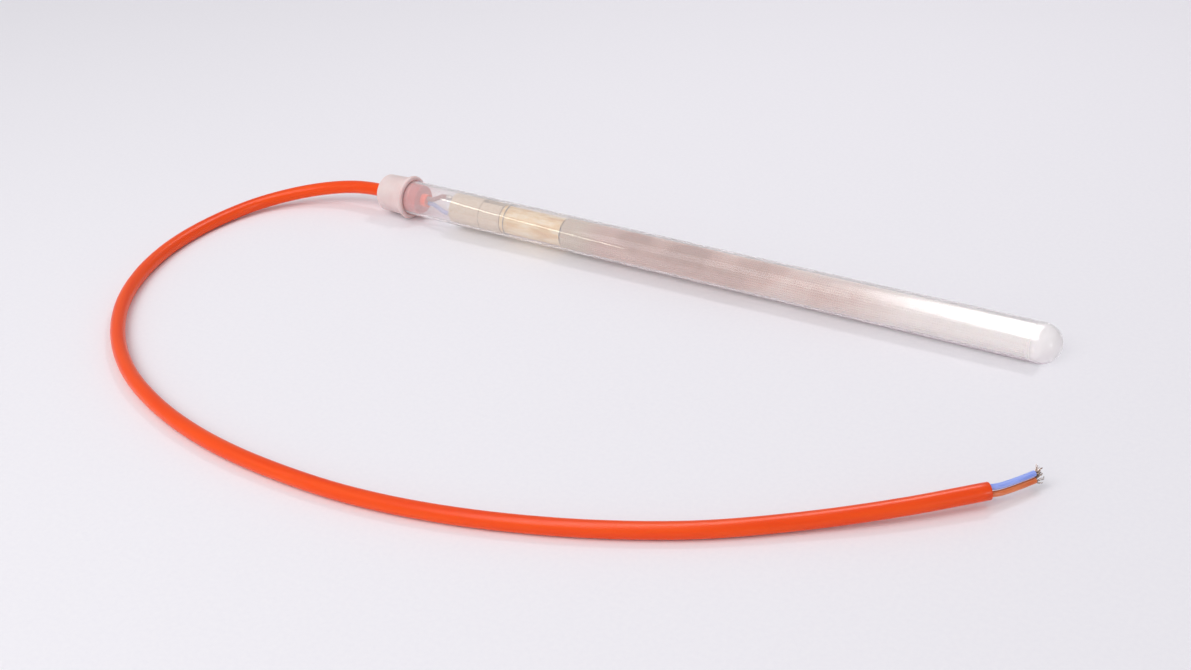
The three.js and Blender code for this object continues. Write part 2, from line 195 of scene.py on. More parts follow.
def smooth_path(points, step):
    """A smooth curve through the points, sampled about every step, as the CAD's cord is."""
    known = [np.array(p, float) for p in points]
    known = [2 * known[0] - known[1], *known, 2 * known[-1] - known[-2]]
    samples = []
    for p0, p1, p2, p3 in zip(known, known[1:], known[2:], known[3:]):
        t1, t2, t3 = np.cumsum([np.linalg.norm(b - a) ** 0.5 for a, b in ((p0, p1), (p1, p2), (p2, p3))])
        count = max(2, round(float(np.linalg.norm(p2 - p1)) / step))
        for t in np.linspace(t1, t2, count, endpoint=False):
            middle = between(p1, p2, t1, t2, t)
            before = between(between(p0, p1, 0, t1, t), middle, 0, t2, t)
            after = between(middle, between(p2, p3, t2, t3, t), t1, t3, t)
            samples.append(between(before, after, t1, t2, t))
    samples.append(known[-2])
    return [Vector(s) for s in samples]


def path_frames(path):
    """A sideways and an upward vector at each point, carried along without twist."""
    up = Vector((0, 0, 1))
    frames = []
    for before, after in zip([path[0], *path], [*path[1:], path[-1]]):
        ahead = (after - before).normalized()
        across = up.cross(ahead).normalized()
        up = ahead.cross(across).normalized()
        frames.append((across, up))
    return frames


def swept(path, radii, sides):
    """A closed round piece along a path. radii holds the radius at each point. The UV map is
    metres round and along."""
    widest = max(radii)
    rows, uvs = [[path[0]]], [[(0.0, 0.0)]]
    along = 0.0
    turn = full_turn(sides)
    for i, (point, (across, up), radius) in enumerate(zip(path, path_frames(path), radii)):
        if i:
            along += (point - path[i - 1]).length
        rows.append([point + (across * math.cos(a) + up * math.sin(a)) * radius for a in turn[:-1]])
        uvs.append([(a * widest, along) for a in turn])
    rows.append([path[-1]])
    uvs.append([(0.0, along)])
    return grid_mesh(rows, uvs)


def rounded_ends(path, radius, edge, steps=4):
    """The path and its radii with extra points at both ends that round the end faces' edges."""
    first, last = path[0], path[-1]
    ahead, back = (path[1] - first).normalized(), (path[-2] - last).normalized()
    middle = [p for p in path if (p - first).dot(ahead) > edge and (p - last).dot(back) > edge]
    angles = [math.pi / 2 * i / steps for i in range(steps + 1)]
    inset = [(edge * (1 - math.sin(a)), radius - edge * (1 - math.cos(math.pi / 2 - a))) for a in angles]
    head = [(first + ahead * gap, size) for gap, size in inset]
    tail = [(last + back * gap, size) for gap, size in reversed(inset)]
    pairs = head + [(p, radius) for p in middle] + tail
    return [p for p, _ in pairs], [r for _, r in pairs]


def piece(name, mesh, finish, node=None, slot=None, in_heater=True, sharp=40, body="heater"):
    """Links a finished mesh as a piece: placed, shaded, riding on its body."""
    mesh.name = name
    if in_heater:
        mesh.transform(HEATER)
    mesh.materials.clear()
    mesh.materials.append(finish)
    mesh.shade_smooth()
    mesh.set_sharp_from_angle(angle=math.radians(sharp))
    made = bpy.data.objects.new(name, mesh)
    bpy.context.scene.collection.objects.link(made)
    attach(made, body)
    if node:
        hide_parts(node)
    return made


def turned_piece(name, profile, finish, node, slot, sides=128, closed=True, wobble=None, sharp=40):
    """Turns a profile and links it as a piece."""
    return piece(name, turned(profile, sides, closed, wobble), finish, node, slot, sharp=sharp)


def grown(tree, values):
    """The plain mesh that a Geometry Nodes tree makes with these input values."""
    seed = bpy.data.objects.new("grower", bpy.data.meshes.new("empty"))
    bpy.context.scene.collection.objects.link(seed)
    modifier = seed.modifiers.new("Nodes", "NODES")
    modifier.node_group = tree
    for item in tree.interface.items_tree:
        if item.in_out == "INPUT" and item.name in values:
            modifier[item.identifier] = values[item.name]
    graph = bpy.context.evaluated_depsgraph_get()
    mesh = bpy.data.meshes.new_from_object(seed.evaluated_get(graph), depsgraph=graph)
    seed.modifiers.remove(modifier)
    bpy.data.objects.remove(seed)
    return mesh


SOCKETS = {int: "NodeSocketInt", float: "NodeSocketFloat"}


def growing_tree(name, **defaults):
    """An empty Geometry Nodes tree with named inputs, and its input and output nodes."""
    tree = bpy.data.node_groups.new(name, "GeometryNodeTree")
    for label, default in defaults.items():
        kind = SOCKETS[type(default)]
        made = tree.interface.new_socket(label.replace("_", " "), in_out="INPUT", socket_type=kind)
        made.default_value = default
    tree.interface.new_socket("Geometry", in_out="OUTPUT", socket_type="NodeSocketGeometry")
    return tree, add_node(tree, "NodeGroupInput").outputs, add_node(tree, "NodeGroupOutput")


def finish_growth(tree, out, geometry, material):
    """Ends a tree in Realize Instances and Set Material."""
    node, _ = node_makers(tree)
    real = node("GeometryNodeRealizeInstances", {"Geometry": geometry})
    painted = node("GeometryNodeSetMaterial", {"Geometry": real, "Material": material})
    tree.links.new(painted, out.inputs[0])
    return tree


def thickened(node, curve, radius, sides, caps=False):
    """A wire or yarn of this radius along a curve."""
    section = node("GeometryNodeCurvePrimitiveCircle", {"Radius": radius, "Resolution": sides})
    inputs = {"Curve": curve, "Profile Curve": section, "Fill Caps": caps}
    return node("GeometryNodeCurveToMesh", inputs)


# ---- Materials ------------------------------------------------------------------------


def new_material(name, **values):
    """A material with one Principled shader, its uniform values set on the shader itself."""
    material = bpy.data.materials.new(name)
    material.use_nodes = True
    tree = material.node_tree
    shader = tree.nodes["Principled BSDF"]
    for label, value in values.items():
        shader.inputs[label.replace("_", " ")].default_value = value
    return material, tree, shader


def object_noise(tree, scale, detail=3.0, roughness=0.5, stretch=(1, 1, 1), uv=False):
    """Noise on Object or UV coordinates. scale is in features per metre."""
    node, _ = node_makers(tree)
    where = add_node(tree, "ShaderNodeTexCoord").outputs["UV" if uv else "Object"]
    mapped = node("ShaderNodeMapping", {"Vector": where, "Scale": stretch})
    inputs = {"Vector": mapped, "Scale": scale, "Detail": detail, "Roughness": roughness}
    return node("ShaderNodeTexNoise", inputs)


def axes(tree, kind="ShaderNodeTexCoord", output="Object"):
    """The X, Y and Z of a node's vector output."""
    vector = add_node(tree, kind).outputs[output]
    return add_node(tree, "ShaderNodeSeparateXYZ", None, {"Vector": vector}).outputs


def smooth_step(tree, value, start, end, low=0.0, high=1.0):
    """A soft step from low to high while the value goes from start to end."""
    inputs = {"Value": value, "From Min": start, "From Max": end, "To Min": low, "To Max": high}
    return node_makers(tree)[0]("ShaderNodeMapRange", inputs, {"interpolation_type": "SMOOTHSTEP"})


def colour_ramp(tree, factor, stops):
    """A ramp through (place, hex colour) stops."""
    ramp = add_node(tree, "ShaderNodeValToRGB", None, {"Fac": factor})
    elements = ramp.color_ramp.elements
    while len(elements) < len(stops):
        elements.new(0.5)
    for element, (place, colour) in zip(elements, stops):
        element.position = place
        element.color = to_linear(colour)
    return ramp.outputs["Color"]


def tint(tree, shader, factor, *stops):
    """Links a ramp through (place, hex colour) stops to the base colour."""
    tree.links.new(colour_ramp(tree, factor, stops), shader.inputs["Base Color"])


def vary_roughness(tree, shader, factor, low, high):
    """Links a factor to the roughness, between low and high."""
    inputs = {"Value": factor, "To Min": low, "To Max": high}
    rough = add_node(tree, "ShaderNodeMapRange", None, inputs)
    tree.links.new(rough.outputs[0], shader.inputs["Roughness"])


def bump(tree, shader, height, distance):
    """Links a height to the shader's normal; distance is the relief in metres."""
    made = add_node(tree, "ShaderNodeBump", None, {"Height": height, "Distance": distance})
    tree.links.new(made.outputs[0], shader.inputs["Normal"])


def drawn_borosilicate_glass():
    """Borosilicate glass, drawn and fire-polished: clear and glossy, with a faint inner bloom. Its deeper
    tint low down is painted shade, and its milkiness higher up is partly bloom and partly painted
    reflection.

    The deeper tint low down and the milky round end are looks.
    """
    material, tree, shader = new_material("borosilicate_glass_drawn", Roughness=0.0, IOR=1.474)
    node, maths = node_makers(tree)
    place = axes(tree)
    height = place["Z"]
    # Milkier higher up and clearer low down: partly a faint bloom, and partly a painted reflection of the
    # room's light that thins out towards the bottom, where painted shade is wanted.
    cloud = maths("MULTIPLY_ADD", object_noise(tree, 55, 3, 0.5, (0.3, 1, 1)), 4 * MM, height)
    clear = smooth_step(tree, cloud, 3 * MM, 8 * MM, 0.975, 0.825)
    dome_end = (HEATER @ Vector((heater_span("glass_tube")[1], 0, 0))).x
    blown = smooth_step(tree, place["X"], dome_end - 14 * MM, dome_end - 6 * MM, 1.0, 0.5)
    tree.links.new(maths("MULTIPLY", clear, blown), shader.inputs["Transmission Weight"])
    # Painted shade: the lowest 5 mm of the glass is tinted dark purple. This stands for the dark contact
    # line along the tube's bottom edge.
    low = node("ShaderNodeMapRange", {"Value": height, "From Max": 5 * MM})
    tint(tree, shader, low, (0.2, "#a98ba2"), (0.42, "#dccbd4"), (0.85, "#fdfafa"))
    return material


def moulded_translucent_silicone(name, thick, thin, clearness):
    """Translucent silicone rubber, moulded: milky, satin, with light scattered inside it."""
    material, tree, shader = new_material(
        name, Roughness=0.36, IOR=1.41, Transmission_Weight=clearness, Subsurface_Weight=0.85,
        Subsurface_Scale=1.2 * MM, Subsurface_Radius=(1.0, 0.75, 0.7),
    )
    tint(tree, shader, object_noise(tree, 90, 2), (0.3, thick), (0.7, thin))
    bump(tree, shader, object_noise(tree, 1500, 3), 0.01 * MM)
    return material


def extruded_orange_silicone():
    """Silicone rubber, extruded as a cable sheath: saturated orange-red with a soft gloss."""
    material, tree, shader = new_material(
        "silicone_sheath_extruded", Roughness=0.3, Specular_IOR_Level=0.35, IOR=1.43,
        Subsurface_Weight=0.15, Subsurface_Scale=2 * MM, Subsurface_Radius=(1.0, 0.25, 0.1),
    )
    streaks = object_noise(tree, 260, 3, 0.5, (1, 0.06, 1), uv=True)
    tint(tree, shader, streaks, (0.3, "#ee460a"), (0.7, "#f85610"))
    bump(tree, shader, object_noise(tree, 900, 3, 0.6, (1, 0.15, 1), uv=True), 0.02 * MM)
    return material


def extruded_pvc(name, dark, light):
    """PVC core insulation, extruded over stranded wire, whose lay shows as faint ridges."""
    material, tree, shader = new_material(name, Roughness=0.28, IOR=1.53)
    ridges = object_noise(tree, 1400, 2, 0.5, (1, 0.05, 1), uv=True)
    tint(tree, shader, ridges, (0.35, dark), (0.65, light))
    bump(tree, shader, ridges, 0.06 * MM)
    return material


def drawn_metal(name, dark, light, roughness, grain=2500, stretch=(0.05, 1, 1)):
    """A drawn or rolled metal, with fine lines along it and a little tarnish."""
    material, tree, shader = new_material(name, Metallic=1.0)
    lines = object_noise(tree, grain, 3, 0.6, stretch)
    tint(tree, shader, lines, (0.3, dark), (0.7, light))
    vary_roughness(tree, shader, lines, roughness * 0.8, roughness * 1.3)
    bump(tree, shader, lines, 0.008 * MM)
    return material


def fired_ceramic(name, dark, middle, light, roughness=0.75):
    """A fired, unglazed technical ceramic: matt, faintly speckled, with a fine grain."""
    material, tree, shader = new_material(name, Roughness=roughness, IOR=1.6)
    tint(tree, shader, object_noise(tree, 700, 5, 0.65), (0.25, dark), (0.55, middle), (0.8, light))
    bump(tree, shader, object_noise(tree, 2200, 4, 0.6), 0.03 * MM)
    return material


def lapped_polyimide_film():
    """Polyimide tape, wound in laps: amber, glossy film, deeper where its laps and glue are thick."""
    material, tree, shader = new_material("polyimide_film_lapped", Roughness=0.38, IOR=1.6)
    cloudy = object_noise(tree, 210, 4, 0.65, (1, 0.22, 1), uv=True)
    stops = ((0.3, "#b98443"), (0.42, "#cfa35f"), (0.52, "#dcbc88"), (0.62, "#e4d4b4"), (0.7, "#cba36c"))
    tint(tree, shader, cloudy, *stops)
    bump(tree, shader, object_noise(tree, 1100, 3, 0.5, (1, 0.06, 1), uv=True), 0.08 * MM)
    return material


# Where the heat has browned the sleeve: millimetres from its start, turn from the top towards
# the front in degrees, half length and half turn of the patch, and how brown it is.
BROWNED = (
    (18, 60, 16, 70, 0.3),
    (42, 20, 9, 45, 0.85),
    (58, 70, 14, 50, 0.35),
    (74, 25, 12, 50, 0.9),
    (96, 75, 16, 45, 0.45),
    (112, 20, 12, 40, 0.5),
    (150, 60, 26, 60, 0.25),
)


def woven_glass_fibre(name, pale, warm, brown):
    """Woven glass-fibre yarn, heat-cleaned: white and soft, browned in patches near the tape,
    with its beige dressing left at the cool end."""
    material, tree, shader = new_material(
        name, Roughness=0.7, Sheen_Weight=0.2, Subsurface_Weight=0.2, Subsurface_Scale=1 * MM
    )
    _, maths = node_makers(tree)
    place = axes(tree)
    start, end, radius = heater_span("fibre_sleeve")
    ragged = maths("MULTIPLY_ADD", object_noise(tree, 130, 3, 0.6), 1.1, 0.45)
    # Warmer near the sleeve's start and paler towards its far end. The paleness at the far end is painted
    # light, where that end is lit most.
    warmth_and_painted_light = smooth_step(tree, place["X"], END_FACE.x + start, END_FACE.x + end, 0.36, 0.02)
    total = maths("MULTIPLY_ADD", object_noise(tree, 45, 3, 0.55), 0.16, warmth_and_painted_light)
    for along, turn, reach, spread, amount in BROWNED:
        angle = math.radians(turn)
        patch_place = (start + along * MM, -radius * math.sin(angle), radius * math.cos(angle))
        wide = radius * math.radians(spread)
        distance = 0.0
        for axis, middle, half in zip("XYZ", HEATER @ Vector(patch_place), (reach * MM, wide, wide)):
            part = maths("DIVIDE", maths("SUBTRACT", place[axis], middle), half)
            distance = maths("ADD", distance, maths("MULTIPLY", part, part))
        patch = maths("EXPONENT", maths("MULTIPLY", distance, -1.0))
        total = maths("MULTIPLY_ADD", maths("MULTIPLY", patch, ragged), amount, total)
    browned = colour_ramp(tree, total, ((0.08, pale), (0.5, warm), (1.15, brown)))
    sleeve_start = END_FACE.x + start
    sized = smooth_step(tree, place["X"], sleeve_start + 8 * MM, sleeve_start + 26 * MM, 0.7, 0.0)
    inputs = {0: sized, 6: browned, 7: to_linear("#c3b69c")}
    dressed = add_node(tree, "ShaderNodeMix", {"data_type": "RGBA"}, inputs)
    tree.links.new(dressed.outputs[2], shader.inputs["Base Color"])
    return material


def moulded_phenolic():
    """Phenolic moulding powder, pressed: dark brown, satin, with a fine filler speckle."""
    material, tree, shader = new_material("phenolic_pressed", Roughness=0.42, IOR=1.6)
    speckle = object_noise(tree, 1800, 4, 0.7)
    tint(tree, shader, speckle, (0.35, "#3a2b22"), (0.7, "#5b4636"))
    bump(tree, shader, speckle, 0.01 * MM)
    return material


def laminated_mica():
    """Mica paper, pressed with resin into sheet: golden-grey with flakes that glint."""
    material, tree, shader = new_material("mica_sheet_pressed", IOR=1.58)
    where = add_node(tree, "ShaderNodeTexCoord").outputs["Object"]
    flakes = add_node(tree, "ShaderNodeTexVoronoi", None, {"Vector": where, "Scale": 1400.0})
    flakes = flakes.outputs["Distance"]
    tint(tree, shader, flakes, (0.2, "#bfa780"), (0.8, "#dccbaa"))
    vary_roughness(tree, shader, flakes, 0.25, 0.5)
    return material


def pale_sweep_paper():
    """Background paper in a pale lavender white, matt."""
    material, tree, shader = new_material("sweep_paper_matt", Roughness=0.95)
    colours = bpy.context.scene.heater_stage
    grain = object_noise(tree, 500, 4, 0.6)
    tint(tree, shader, grain, (0.3, colours.floor_dark), (0.7, colours.floor_light))
    return material


# ---- Sizes and colours that a user would change ---------------------------------------


def length_property(label, description, default):
    """A size in metres that a user can set."""
    return bpy.props.FloatProperty(
        name=label, description=description, default=default, min=0.0, unit="LENGTH", precision=5
    )


class StageSettings(bpy.types.PropertyGroup):
    """The camera, the floor and the lights."""

    camera_place: bpy.props.FloatVectorProperty(
        name="Camera place",
        description="Where the camera stands",
        default=(0.3334, -0.5594, 0.3428),
        subtype="TRANSLATION",
    )
    camera_aim: bpy.props.FloatVectorProperty(
        name="Camera aim",
        description="The point on the floor at the middle of the view",
        default=(-0.0089, -0.0658, 0.0),
        subtype="TRANSLATION",
    )
    camera_roll: bpy.props.FloatProperty(
        name="Camera roll",
        description="How far the camera leans to its right",
        default=math.radians(4.3),
        subtype="ANGLE",
    )
    camera_lens: bpy.props.FloatProperty(
        name="Lens", description="Focal length for a 36 mm sensor", default=45.3, unit="CAMERA"
    )
    floor_light: bpy.props.StringProperty(
        name="Floor colour", description="The paper's paler colour, as sRGB hex", default="#f3f2f6"
    )
    floor_dark: bpy.props.StringProperty(
        name="Floor grain", description="The paper's darker colour, as sRGB hex", default="#f0eff4"
    )
    fill: bpy.props.FloatProperty(
        name="Fill light", description="Brightness of the surrounding light", default=0.53, min=0.0
    )


class CordSettings(bpy.types.PropertyGroup):
    """The mains cord and its bare end."""

    diameter: length_property("Sheath", "Outside diameter of the cord's sheath", 7 * MM)
    core: length_property("Core", "Outside diameter of each insulated core", 2.4 * MM)
    core_pitch: length_property("Core pitch", "Between the two cores' centres", 2.7 * MM)
    bare: length_property("Bare cores", "Reach of the cores past the sheath", 20 * MM)
    strand: length_property("Strands", "Length of the bare strands", 3.9 * MM)
    strand_count: bpy.props.IntProperty(
        name="Strand count", description="Strands in each core", default=20, min=3
    )


class TubeSettings(bpy.types.PropertyGroup):
    """The glass tube and its end cap."""

    wall: length_property("Glass wall", "Thickness of the glass", 1.2 * MM)
    cap_end_wall: length_property("Cap end", "Thickness of the cap's closed end", 3.2 * MM)
    cap_round: length_property("Cap rounding", "Radius of the cap's far edge", 2.4 * MM)
    lip_width: length_property("Lip width", "Width of the rolled lip", 2.6 * MM)
    lip_height: length_property("Lip height", "How far the lip stands out of the cap", 1.4 * MM)
    cap_taper: length_property("Cap taper", "How much the cap narrows to its end", 0.4 * MM)


class ElementSettings(bpy.types.PropertyGroup):
    """The insulators, the taped section and the heating element."""

    weave_pitch: length_property("Weave pitch", "Between neighbouring yarns", 1.1 * MM)
    yarn: length_property("Yarn", "Thickness of a yarn", 0.44 * MM)
    coil_pitch: length_property("Coil pitch", "Between turns of the heating coil", 1.6 * MM)
    coil_wire: length_property("Coil wire", "Thickness of the resistance wire", 0.8 * MM)


# ---- Stage ----------------------------------------------------------------------------

# How far the floor reaches each way from the middle, in metres.
FLOOR_HALF = 12.0

# The lights: name, place, aim, direction of the long side, width, length, watts, colour, and
# whether they show in gloss, light matt faces, or do both. A long soft box hangs over the
# dome end and fades out to the left. A key lamp hangs behind it. In front are a large soft
# box and a low fill. A thin strip stands at the front left, and a small panel at the right.
LIGHTS = (
    ("overhead_box", (-0.13, -0.1, 1.0), (-0.13, -0.1, 0), (0, 1, 0), 0.4, 2.2, 16, "#ffffff", "gloss"),
    ("key_lamp", (0.05, 0.4, 0.85), (0, -0.05, 0), (0, 1, 0), 0.13, 0.13, 1.2, "#fffafd", "both"),
    ("front_box", (-0.4, -1.2, 1.5), (0, 0, 0), (1, 0, 0), 1.4, 1.6, 19, "#fffefd", "matt"),
    ("front_fill", (-0.1, -1.5, 0.4), (0, 0, 0), (1, 0, 0), 0.7, 1.2, 1.5, "#fffaf6", "matt"),
    ("front_strip", (-0.667, -0.584, 0.595), (-0.08, 0, 0.01), (0.454, -0.255, -0.73), 0.018, 0.9, 0.5,
     "#fdfbe6", "gloss"),
    ("right_panel", (1.57, -0.46, 0.33), (0.18, 0, 0.01), (0, 0, 1), 0.22, 0.22, 3, "#ffffff", "gloss"),
)


def facing(place, aim, along):
    """The placing of a light whose long side lies along a direction and which faces the aim."""
    long_side = Vector(along).normalized()
    back = Vector(place) - Vector(aim)
    back = (back - long_side * back.dot(long_side)).normalized()
    turn = Matrix((long_side.cross(back), long_side, back)).transposed().to_4x4()
    return Matrix.Translation(place) @ turn


def soft_edge(light):
    """Fades an area light out towards its low-X side."""
    light.use_nodes = True
    tree = light.node_tree
    across = axes(tree, "ShaderNodeNewGeometry", "Parametric")["X"]
    fade = smooth_step(tree, across, 0.0, 0.45)
    tree.links.new(fade, tree.nodes["Emission"].inputs["Strength"])


class HEATER_OT_stage(bpy.types.Operator):
    """Make the camera, the floor and the lights"""

    bl_idname = "heater.stage"
    bl_label = "Stage"

    def execute(self, context):
        scene = context.scene
        settings = scene.heater_stage
        camera = bpy.data.objects.new("Camera", bpy.data.cameras.new("Camera"))
        camera.data.lens = settings.camera_lens
        camera.data.sensor_width = 36
        camera.data.clip_start = 0.01
        place, aim = Vector(settings.camera_place), Vector(settings.camera_aim)
        turn = (aim - place).to_track_quat("-Z", "Y").to_matrix().to_4x4()
        lean = Matrix.Rotation(-settings.camera_roll, 4, "Z")
        camera.matrix_world = Matrix.Translation(place) @ turn @ lean
        scene.collection.objects.link(camera)
        scene.camera = camera
        scene.view_settings.view_transform = "Standard"

        corners = [(x * FLOOR_HALF, y * FLOOR_HALF, 0) for x, y in ((-1, -1), (1, -1), (1, 1), (-1, 1))]
        mesh = bpy.data.meshes.new("floor")
        mesh.from_pydata(corners, [], [(0, 1, 2, 3)])
        mesh.materials.append(pale_sweep_paper())
        floor = bpy.data.objects.new("floor", mesh)
        scene.collection.objects.link(floor)

        world = bpy.data.worlds.new("studio")
        scene.world = world
        world.use_nodes = True
        background = world.node_tree.nodes["Background"]
        background.inputs["Color"].default_value = to_linear("#f7f6fa")
        background.inputs["Strength"].default_value = settings.fill

        for name, place, aim, along, width, length, watts, colour, use in LIGHTS:
            light = bpy.data.lights.new(name, "AREA")
            light.shape = "RECTANGLE" if length > width else "DISK"
            light.size = width
            light.size_y = length
            light.energy = watts
            light.color = to_linear(colour)[:3]
            lamp = bpy.data.objects.new(name, light)
            lamp.matrix_world = facing(place, aim, along)
            lamp.visible_diffuse = use != "gloss"
            lamp.visible_glossy = use != "matt"
            scene.collection.objects.link(lamp)
            if name == "overhead_box":
                soft_edge(light)
        return {"FINISHED"}


# ---- Cord -----------------------------------------------------------------------------

# The cord's route from the cap's outer end face: X and Y in metres, and how far it is lifted
# off the floor, as a share of its lift where it leaves the cap.
CORD_ROUTE = (
    (-0.0003, 0.0, 1.0),
    (-0.011, -0.0001, 0.97),
    (-0.023, -0.0013, 0.87),
    (-0.035, -0.005, 0.72),
    (-0.047, -0.0114, 0.54),
    (-0.0585, -0.021, 0.34),
    (-0.068, -0.034, 0.17),
    (-0.074, -0.051, 0.05),
    (-0.0763, -0.071, 0.0),
    (-0.074, -0.094, 0.0),
    (-0.0655, -0.12, 0.0),
    (-0.0495, -0.147, 0.0),
    (-0.025, -0.1725, 0.0),
    (0.005, -0.193, 0.0),
    (0.035, -0.2063, 0.0),
    (0.064, -0.2148, 0.0),
    (0.094, -0.2198, 0.0),
    (0.126, -0.2215, 0.0),
    (0.159, -0.2203, 0.0),
    (0.191, -0.2154, 0.0),
    (0.226, -0.206, 0.0),
    (0.261, -0.1926, 0.0),
    (0.2936, -0.176, 0.02),
    (0.3254, -0.1543, 0.1),
    (0.354, -0.132, 0.26),
    (0.3794, -0.1086, 0.38),
)

# How the bare cores bend: share of their reach, then how far left and up they have gone in
# metres.
CORE_BEND = (
    (0.0, 0.0, 0.0),
    (0.2, 0.0001, -0.00025),
    (0.42, 0.0011, -0.00045),
    (0.65, 0.0024, -0.00055),
    (0.88, 0.00395, -0.0007),
    (1.0, 0.0048, -0.00075),
)
# One core lies above the other, at this angle from level.
CORE_STACK_ANGLE = math.radians(68)
# How far the strands start inside their insulation.
STRAND_TUCK = 0.4 * MM
CORD_FLOOR_GAP = 0.05 * MM
SHEATH_RECESS = 0.5 * MM


def cord_path():
    """The sheath's centreline in the row's frame."""
    rest = bpy.context.scene.heater_cord.diameter / 2 + CORD_FLOOR_GAP
    exit_lift = END_FACE.z - rest
    points = [(END_FACE.x + x, y, rest + lift * exit_lift) for x, y, lift in CORD_ROUTE]
    return smooth_path(points, 4 * MM)


def cut_sheath(path, radius):
    """Path and radii for the sheath: a trimmed, softly rounded cut end with a shallow recess."""
    core_room = radius * 0.8
    edge = 0.35 * MM
    first, last = path[0], path[-1]
    ahead, back = (path[1] - first).normalized(), (path[-2] - last).normalized()
    middle = [p for p in path[1:-1] if (p - last).length > 2 * edge]
    rings = [(first, radius - edge * 0.5), (first + ahead * edge, radius)]
    rings += [(p, radius) for p in middle]
    rings += [(last + back * edge, radius), (last + back * edge * 0.3, radius - edge * 0.3)]
    rings += [(last, radius - edge), (last, core_room), (last + back * SHEATH_RECESS, core_room - edge)]
    return zip(*rings)


def core_path(side, settings, end, heading):
    """A bare core's centreline out of the sheath. side is 1 for the core on top."""
    across = side * settings.core_pitch / 2 * math.cos(CORE_STACK_ANGLE)
    above = side * settings.core_pitch / 2 * math.sin(CORE_STACK_ANGLE)
    ahead = Vector((heading.x, heading.y, 0)).normalized()
    left = Vector((-ahead.y, ahead.x, 0))
    start = -0.6 * MM
    points = []
    for share, bend, rise in CORE_BEND:
        along = start + share * (settings.bare - start)
        points.append(end + ahead * along + left * (across + bend) + Vector((0, 0, above + rise)))
    return smooth_path(points, 0.8 * MM)


def frayed_strands_tree(material):
    """Thin wires that start in a round bundle, spread, and bend more towards their ends."""
    tree, given, out = growing_tree(
        "Frayed strands", Count=20, Length=5 * MM, Bundle_radius=0.8 * MM, Strand_radius=0.1 * MM,
        Spread=0.3, Bend=1 * MM, Seed=1,
    )
    node, maths = node_makers(tree)

    def chance(low, high, shift):
        inputs = {0: given["Seed"], 1: shift}
        seed = node("FunctionNodeIntegerMath", inputs, {"operation": "ADD"})
        inputs = {"Seed": seed, 2: low, 3: high}
        return add_node(tree, "FunctionNodeRandomValue", {"data_type": "FLOAT"}, inputs).outputs[1]

    reach = maths("MULTIPLY", maths("SQRT", chance(0, 1, 0)), given["Bundle radius"])
    angle = chance(0, 2 * math.pi, 1)
    y, z = (maths("MULTIPLY", reach, maths(wave, angle)) for wave in ("COSINE", "SINE"))
    start = node("ShaderNodeCombineXYZ", {"Y": y, "Z": z})
    points = node("GeometryNodePoints", {"Count": given["Count"], "Position": start})
    tip = node("ShaderNodeCombineXYZ", {"X": given["Length"]})
    line = node("GeometryNodeCurvePrimitiveLine", {"End": tip})
    fine = node("GeometryNodeResampleCurve", {"Curve": line, "Count": 9})
    y, z = (maths("MULTIPLY", chance(-1, 1, shift), given["Spread"]) for shift in (2, 3))
    lean = node("ShaderNodeCombineXYZ", {"Y": y, "Z": z})
    size = node("ShaderNodeCombineXYZ", {"X": chance(0.72, 1.0, 4), "Y": 1.0, "Z": 1.0})
    inputs = {"Points": points, "Instance": fine, "Rotation": lean, "Scale": size}
    real = node("GeometryNodeRealizeInstances", {"Geometry": node("GeometryNodeInstanceOnPoints", inputs)})
    where = node("GeometryNodeInputPosition")
    inputs = {"Vector": where, "W": maths("MULTIPLY", given["Seed"], 3.7), "Scale": 600.0, "Detail": 1.0}
    wave = add_node(tree, "ShaderNodeTexNoise", {"noise_dimensions": "4D"}, inputs).outputs["Color"]
    centred = node("ShaderNodeVectorMath", {0: wave, 1: (0.5, 0.5, 0.5)}, {"operation": "SUBTRACT"})
    share = add_node(tree, "GeometryNodeSplineParameter").outputs["Factor"]
    amount = maths("MULTIPLY", maths("MULTIPLY", share, share), given["Bend"])
    offset = node("ShaderNodeVectorMath", {0: centred, "Scale": amount}, {"operation": "SCALE"})
    bent = node("GeometryNodeSetPosition", {"Geometry": real, "Offset": offset})
    wires = thickened(node, bent, given["Strand radius"], 6, caps=True)
    return finish_growth(tree, out, wires, material)


